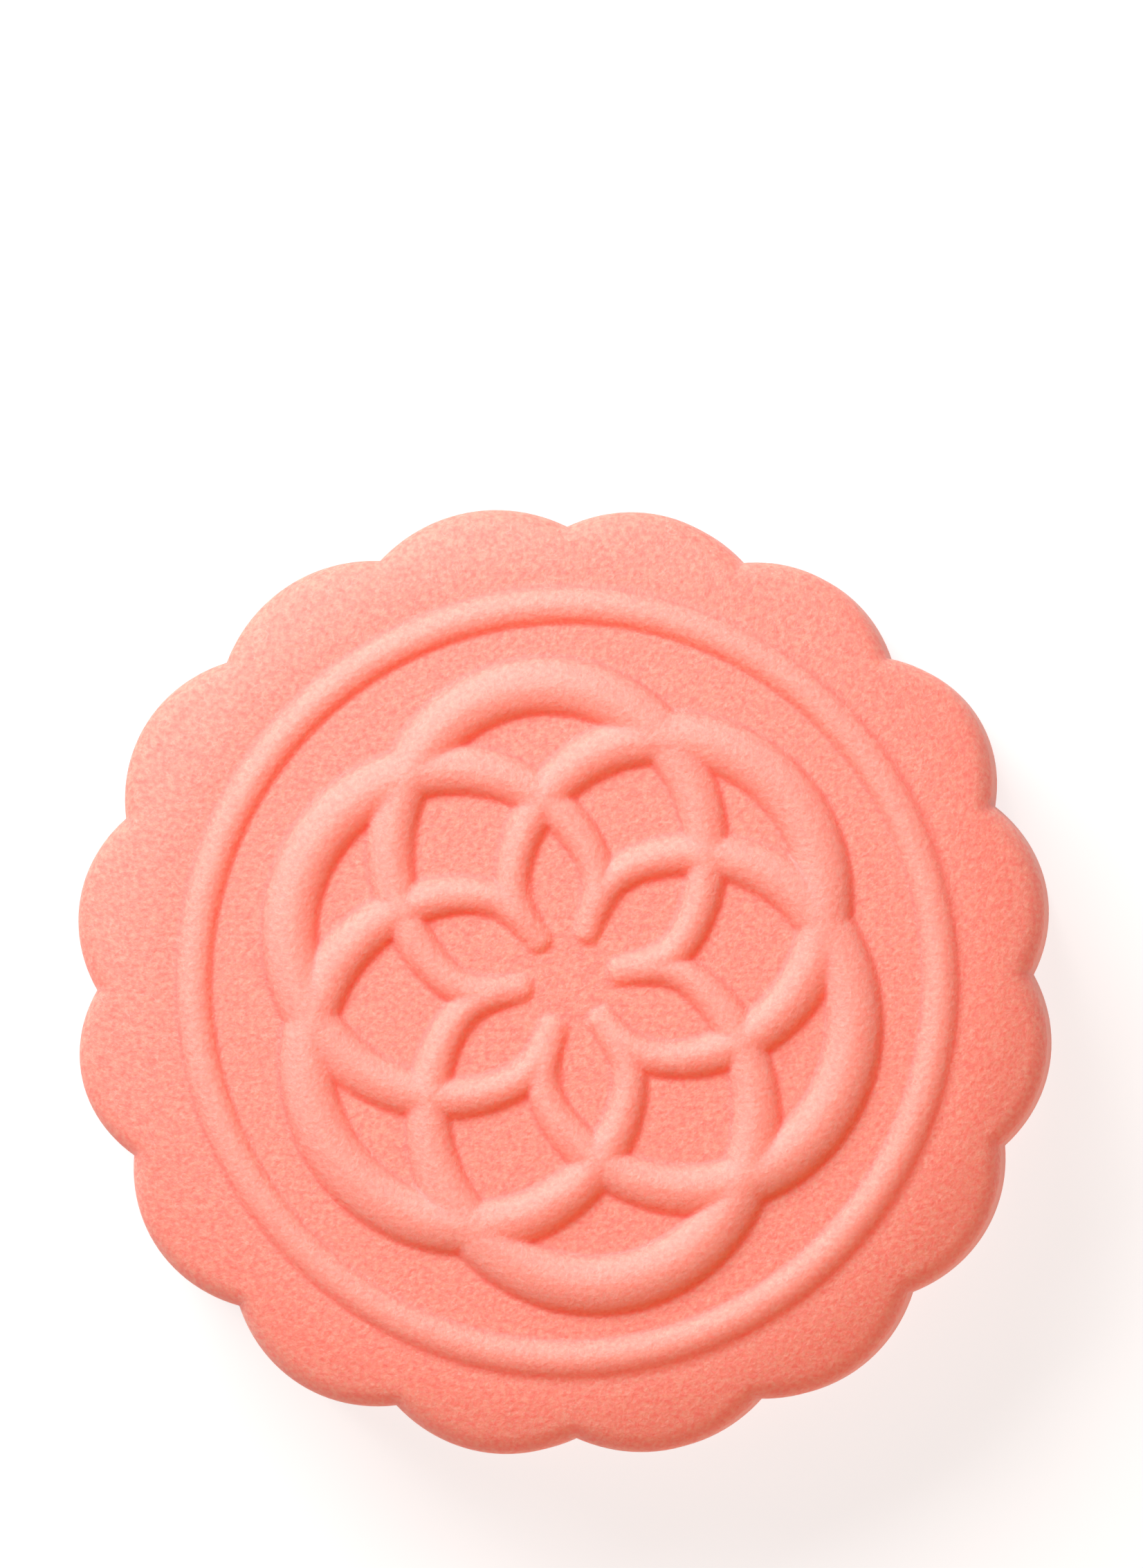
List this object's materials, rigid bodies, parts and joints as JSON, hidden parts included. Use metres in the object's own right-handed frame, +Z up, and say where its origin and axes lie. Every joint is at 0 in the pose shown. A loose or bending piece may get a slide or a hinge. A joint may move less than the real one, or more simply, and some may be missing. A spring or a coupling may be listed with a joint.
{
  "type": "mooncake",
  "caption": "Round scalloped mooncake of smooth coral dough, with a raised ring and an interlaced-circle rosette on its crowned top.",
  "frame": {"origin": "middle of the flat underside", "axes": "+Z up, out of the patterned top; +X across the slightly wider way, to the right as the picture shows the cake; +Y toward the top of the picture"},
  "size_m": [0.0699, 0.0681, 0.0228],
  "materials": {
    "dough": "matte, fine-grained baked dough"
  },
  "bodies": {
    "root": {"mooncake": "dough"}
  },
  "joints": []
}
